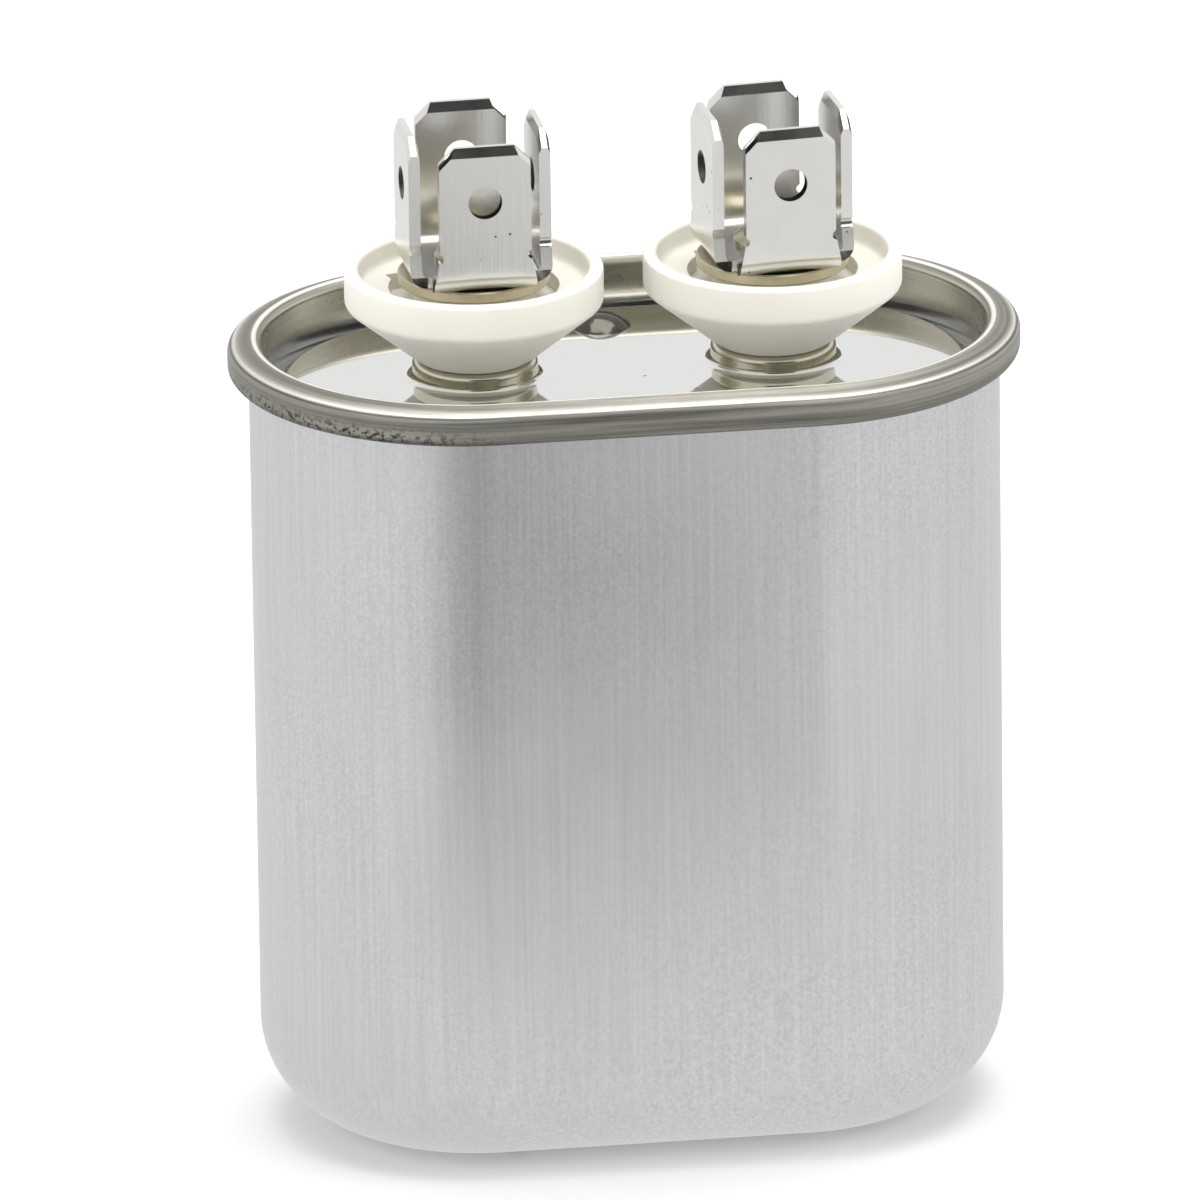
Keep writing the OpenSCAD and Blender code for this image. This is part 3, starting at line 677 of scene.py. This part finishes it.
# one blade with its fold, its upright sheet in the plane y = 0
fold_path = arc((-bend, plate_z - half + bend), bend, -90, 0, 12) + [(0, tip_z - tip_taper)]
count = len(fold_path)
side_view = bent_sheet(fold_path, blade_thickness)
side_view = side_view[:count] + [(-tip_half, tip_z), (tip_half, tip_z)] + side_view[count:]
blade = show(prism(side_view, "x", -foot_width / 2, foot_width / 2), "blade")
right_edge = [(foot_width / 2, washer_top - 1), (foot_width / 2, plate_z), (blade_width / 2, notch_z),
              (blade_width / 2, tip_z - cut_corner), (blade_width / 2 - cut_corner, tip_z)]
face_view = right_edge + [(-x, z) for x, z in reversed(right_edge)]
cut_with(blade, "INTERSECT", [prism(face_view, "y", -3, 3)])
hole_z = tip_z - hole_from_tip
cutters = [prism(arc((0, hole_z), blade_hole / 2, 0, 352.5, 47), "y", -2, 2)]
for side in (-1, 1):
    cutters.append(prism(arc((side * (blade_width / 2 + 0.1), notch_z), notch_r, 0, 330, 11), "y", -2, 2))
cut_with(blade, "DIFFERENCE", cutters)
dish_width, dish_depth = 0.27, 0.12
for face_side in (-1, 1):
    dish = bmesh.new()
    bmesh.ops.create_cone(
        dish, cap_ends=True, segments=48, radius1=blade_hole / 2, radius2=blade_hole / 2 + 2 * dish_width,
        depth=2 * dish_depth, matrix=Matrix.Translation((0, face_side * half, hole_z))
        @ Matrix.Rotation(-face_side * math.pi / 2, 4, "X"))
    dish_mesh = bpy.data.meshes.new("dish")
    dish.to_mesh(dish_mesh)
    dish.free()
    cut_with(blade, "DIFFERENCE", [dish_mesh])
    for side in (-1, 1):
        wedge = prism([(-0.3, face_side * half), (0.3, face_side * (half - 0.4)),
                       (0.3, face_side * (half + 0.2))], "x", -cut_corner, cut_corner)
        # the wedge's first axis lies along the cut corner, and its second points out of it
        outwards = Vector((side, 0, 1)).normalized()
        along_cut = Vector((side, 0, -1)).normalized()
        for vertex in wedge.vertices:
            pulled, out, thick = vertex.co
            vertex.co = (Vector((side * (blade_width - cut_corner) / 2, 0, tip_z - cut_corner / 2))
                         + along_cut * pulled + outwards * out + Vector((0, thick, 0)))
        cut_with(blade, "DIFFERENCE", [wedge])
shape = bmesh.new()
shape.from_mesh(blade.data)
bmesh.ops.remove_doubles(shape, verts=shape.verts, dist=1e-4)
bmesh.ops.dissolve_limit(shape, angle_limit=math.radians(0.5), verts=shape.verts, edges=shape.edges)
# the press leaves every edge a little round
edges = [e for e in shape.edges if len(e.link_faces) == 2 and e.calc_face_angle(0) > math.radians(35)]
bmesh.ops.bevel(shape, geom=edges, offset=0.06, segments=2, profile=0.5, affect="EDGES",
                clamp_overlap=True)
bmesh.ops.scale(shape, vec=(MM, MM, MM), verts=shape.verts)
shape.to_mesh(blade.data)
shape.free()

# the tree that stands four blades round a terminal's middle
four_blades = bpy.data.node_groups.new("four_blades_round_the_middle", "GeometryNodeTree")
for title, kind in (("Blade", "Geometry"), ("Front Back Reach", "Float"), ("Left Right Reach", "Float"),
                    ("Turn", "Float"), ("Middle", "Vector"), ("Metal", "Material")):
    four_blades.interface.new_socket(title, in_out="INPUT", socket_type="NodeSocket" + kind)
four_blades.interface.new_socket("Blades", in_out="OUTPUT", socket_type="NodeSocketGeometry")
given = add_node(four_blades, "NodeGroupInput").outputs
spots = add_node(four_blades, "GeometryNodeMeshLine", {"Count": 4, "Offset": (0, 0, 0)})
number = add_node(four_blades, "GeometryNodeInputIndex")
angle = add_node(four_blades, "ShaderNodeMath", {"operation": "MULTIPLY_ADD", 1: math.pi / 2},
                 {0: number.outputs[0], 2: given["Turn"]})
angle = add_node(four_blades, "ShaderNodeCombineXYZ", None, {"Z": angle.outputs[0]})
stood = add_node(four_blades, "GeometryNodeInstanceOnPoints", None, {
    "Points": spots.outputs[0], "Instance": given["Blade"], "Rotation": angle.outputs[0]})
at_side = add_node(four_blades, "ShaderNodeMath", {"operation": "MODULO", 1: 2.0},
                   {0: number.outputs[0]})
reach = add_node(four_blades, "ShaderNodeMix", None, {
    "Factor": at_side.outputs[0], "A": given["Front Back Reach"], "B": given["Left Right Reach"]})
reach = add_node(four_blades, "ShaderNodeCombineXYZ", None, {"Y": reach.outputs[0]})
stood = add_node(four_blades, "GeometryNodeTranslateInstances", {"Local Space": True},
                 {"Instances": stood.outputs[0], "Translation": reach.outputs[0]})
stood = add_node(four_blades, "GeometryNodeRealizeInstances", None, {"Geometry": stood.outputs[0]})
stood = add_node(four_blades, "GeometryNodeTransform", None,
                 {"Geometry": stood.outputs[0], "Translation": given["Middle"]})
stood = add_node(four_blades, "GeometryNodeSetMaterial", None,
                 {"Geometry": stood.outputs[0], "Material": given["Metal"]})
add_node(four_blades, "NodeGroupOutput", None, {"Blades": stood.outputs[0]})

fold_y, fold_x = span_front_back / 2 - half - bend, span_left_right / 2 - half - bend
arm = foot_width / 2
for side, way in (("left", -1), ("right", 1)):
    turn = math.radians(terminal_turn[side])
    middle = Vector((way * terminal_spacing / 2, 0, 0)) * MM
    terminal = show(blade.data.copy(), "blades_" + side)
    maker = terminal.modifiers.new("four_blades", "NODES")
    maker.node_group = four_blades
    sizes = {"Front Back Reach": (span_front_back / 2 - half) * MM,
             "Left Right Reach": (span_left_right / 2 - half) * MM,
             "Turn": turn, "Middle": middle, "Metal": satin_tin}
    for socket in four_blades.interface.items_tree:
        if socket.in_out == "INPUT" and socket.name in sizes:
            maker[socket.identifier] = sizes[socket.name]
    result_of(terminal)
    # the cross-shaped base plate between the folds
    cross = [(fold_x, -arm), (fold_x, arm), (arm, arm), (arm, fold_y), (-arm, fold_y), (-arm, arm),
             (-fold_x, arm), (-fold_x, -arm), (-arm, -arm), (-arm, -fold_y), (arm, -fold_y), (arm, -arm)]
    shape = bmesh.new()
    for level in (plate_z, plate_z - blade_thickness):
        ring_of = [shape.verts.new((x, y, level)) for x, y in cross]
        shape.faces.new(ring_of)
        if level == plate_z:
            upper = ring_of
    for i in range(len(cross)):
        j = (i + 1) % len(cross)
        shape.faces.new((upper[i], upper[j], ring_of[j], ring_of[i]))
    bmesh.ops.scale(shape, vec=(MM, MM, MM), verts=shape.verts)
    bmesh.ops.rotate(shape, matrix=Matrix.Rotation(turn, 3, "Z"), verts=shape.verts)
    bmesh.ops.translate(shape, vec=middle, verts=shape.verts)
    shape.from_mesh(terminal.data)
    shape.to_mesh(terminal.data)
    shape.free()
    shade(terminal, 12)
    rides_for(terminal, satin_tin, "terminal_tin", "terminal_" + side)
bpy.data.objects.remove(blade)

# --- Inside the can ---
# Not seen: sealed under the cover, these pieces keep their CAD shapes and get their own finish.
def finish_nodes(paint, *nodes):
    """Gives CAD nodes a material in their own slots."""
    for node in nodes:
        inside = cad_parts[node]
        if not inside.material_slots:
            inside.data.materials.append(paint)
        for place_for in inside.material_slots:
            place_for.material = paint


def mottled(name, dark, light, grain_mm, roughness, metallic=0.0, stretch=(1, 1, 1)):
    """A material with two close tones in grains of this size, and their relief."""
    made, tree, shader = material(name)
    shader.inputs["Metallic"].default_value = metallic
    shader.inputs["Roughness"].default_value = roughness
    place = add_node(tree, "ShaderNodeTexCoord").outputs["Object"]
    place = add_node(tree, "ShaderNodeMapping", {"Scale": stretch}, {"Vector": place}).outputs[0]
    grain = add_node(tree, "ShaderNodeTexNoise", {"Scale": 1000.0 / grain_mm, "Detail": 4.0},
                     {"Vector": place})
    tone = add_node(tree, "ShaderNodeMixRGB", {"Color1": linear(dark), "Color2": linear(light)},
                    {"Fac": grain.outputs["Fac"]})
    tree.links.new(tone.outputs[0], shader.inputs["Base Color"])
    bump = add_node(tree, "ShaderNodeBump", {"Strength": 0.3, "Distance": grain_mm * MM * 0.1},
                    {"Height": grain.outputs["Fac"]})
    tree.links.new(bump.outputs[0], shader.inputs["Normal"])
    return made


# Rubber rings: black nitrile, moulded matt, pressed up into the collars.
finish_nodes(mottled("nitrile_rubber", "121212", "1d1c1b", 0.4, 0.75), "gasket_left", "gasket_right")
# Inner bushings: the same ivory moulding as the cups, under the cover.
finish_nodes(mottled("bushing_plastic", "d8d2c0", "e3decf", 0.8, 0.45), "bushing_left", "bushing_right")
# Contact lugs: tinned brass strip under the rivets' lower heads.
finish_nodes(mottled("tinned_brass", "a9a596", "beb9a8", 0.5, 0.32, 1.0), "lug_left", "lug_right")
# Insulating plate: brown pressed board with fibres, laid over the winding.
finish_nodes(mottled("pressed_board", "6f4e30", "8a6440", 0.7, 0.85, 0.0, (1, 3, 1)), "top_plate")
# Lead ribbons: tinned copper strip, drawn along its length.
finish_nodes(mottled("tinned_copper", "a88a72", "c2a68c", 0.3, 0.35, 1.0, (1, 1, 0.1)),
             "lead_short", "lead_long")
# Sleeve: yellow polyester film folded round the long ribbon.
finish_nodes(mottled("polyester_film", "b09f5e", "c4b474", 1.5, 0.35, 0.0, (1, 1, 0.3)), "lead_sleeve")
# Liner: a kraft paper wrap between winding and can.
finish_nodes(mottled("kraft_paper", "9a7f5b", "b39873", 0.6, 0.9, 0.0, (1, 1, 2)), "liner")
# End sprays: molten zinc sprayed on the film's edges, rough as cast.
finish_nodes(mottled("sprayed_zinc", "5a5b5d", "828385", 0.35, 0.6, 1.0), "spray_top", "spray_bottom")
# Winding: metallised polypropylene film, wound flat, with its layers' fine edges up and down.
finish_nodes(mottled("metallised_film", "8d9093", "a9acaf", 0.5, 0.3, 0.6, (1, 1, 0.02)), "winding")
# Core: a flattened natural polypropylene tube that the film is wound on.
finish_nodes(mottled("polypropylene_tube", "cfcfca", "dededa", 1.2, 0.5), "core")
# Base block: a moulding that holds the winding above the rounded base.
finish_nodes(mottled("spacer_plastic", "bdb6a3", "cdc7b6", 0.9, 0.5), "base_spacer")
